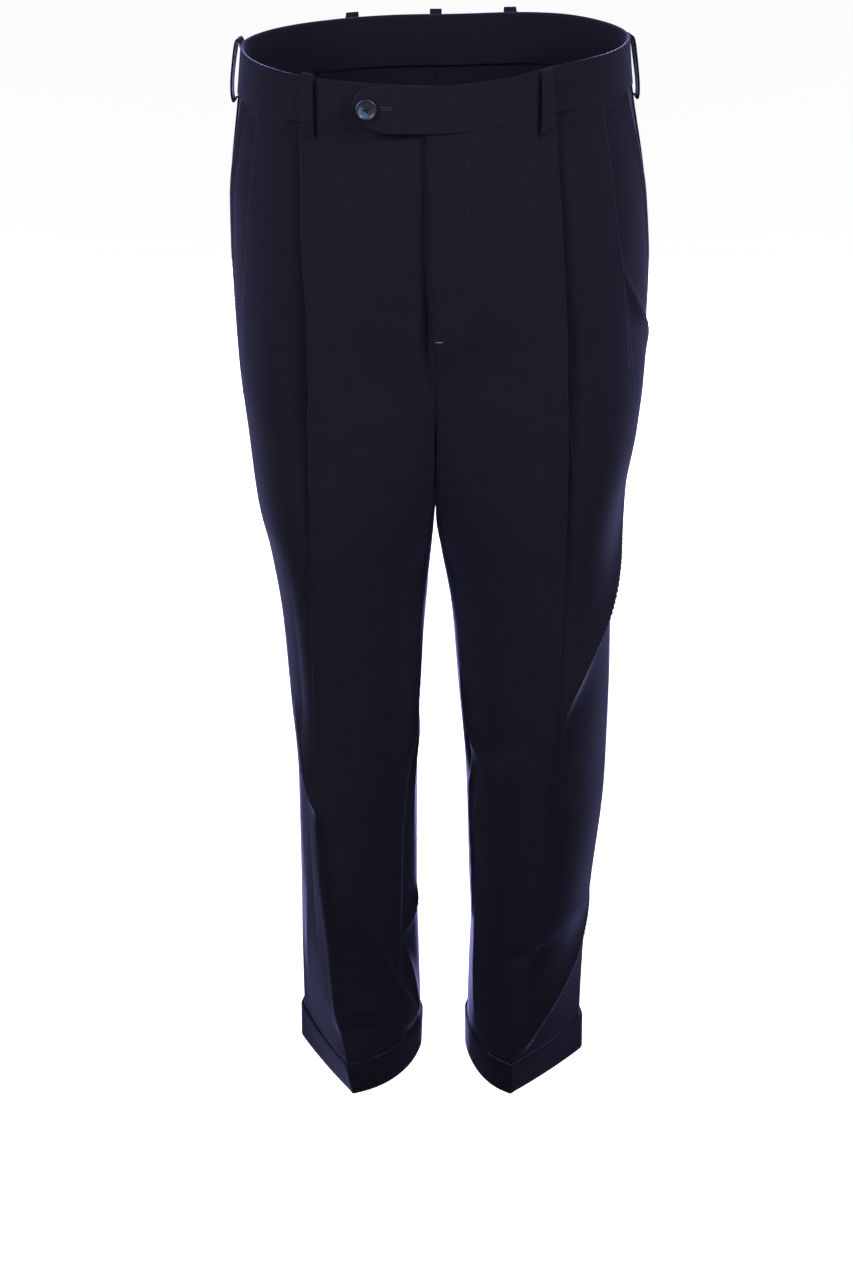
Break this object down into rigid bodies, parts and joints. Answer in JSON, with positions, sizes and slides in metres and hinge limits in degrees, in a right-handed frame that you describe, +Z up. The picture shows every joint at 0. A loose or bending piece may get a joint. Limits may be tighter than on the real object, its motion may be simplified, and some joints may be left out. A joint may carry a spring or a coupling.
{
  "type": "pleated dress trousers",
  "caption": "Hollow dress trousers in their worn pose, with reverse pleats, pressed creases, turn-ups and a buttoned waistband tab.",
  "frame": {"origin": "middle of the waistband's ring, about half way up the band, where the wearer's waist holds the garment", "axes": "+Z up the body, +X to the wearer's left, -Y out of the garment's front"},
  "size_m": [0.367, 0.2556, 1.0366],
  "materials": {
    "worsted_cloth": "fine plain-woven navy worsted with a slight sheen",
    "button_resin": "polished dark blue resin with a pearly cloud"
  },
  "bodies": {
    "root": {"front_right_upper": "worsted_cloth", "front_right_lower": "worsted_cloth", "front_left_upper": "worsted_cloth", "front_left_lower": "worsted_cloth", "back_right_upper": "worsted_cloth", "back_right_lower": "worsted_cloth", "back_left_upper": "worsted_cloth", "back_left_lower": "worsted_cloth", "pocket_facing_right": "worsted_cloth", "pocket_facing_left": "worsted_cloth", "waistband_right": "worsted_cloth", "waistband_left": "worsted_cloth", "turnup_right": "worsted_cloth", "turnup_left": "worsted_cloth", "belt_loop_front_right": "worsted_cloth", "belt_loop_front_left": "worsted_cloth", "belt_loop_side_right": "worsted_cloth", "belt_loop_side_left": "worsted_cloth", "belt_loop_back_right": "worsted_cloth", "belt_loop_back_left": "worsted_cloth", "belt_loop_centre_back": "worsted_cloth", "button": "button_resin"}
  },
  "joints": []
}
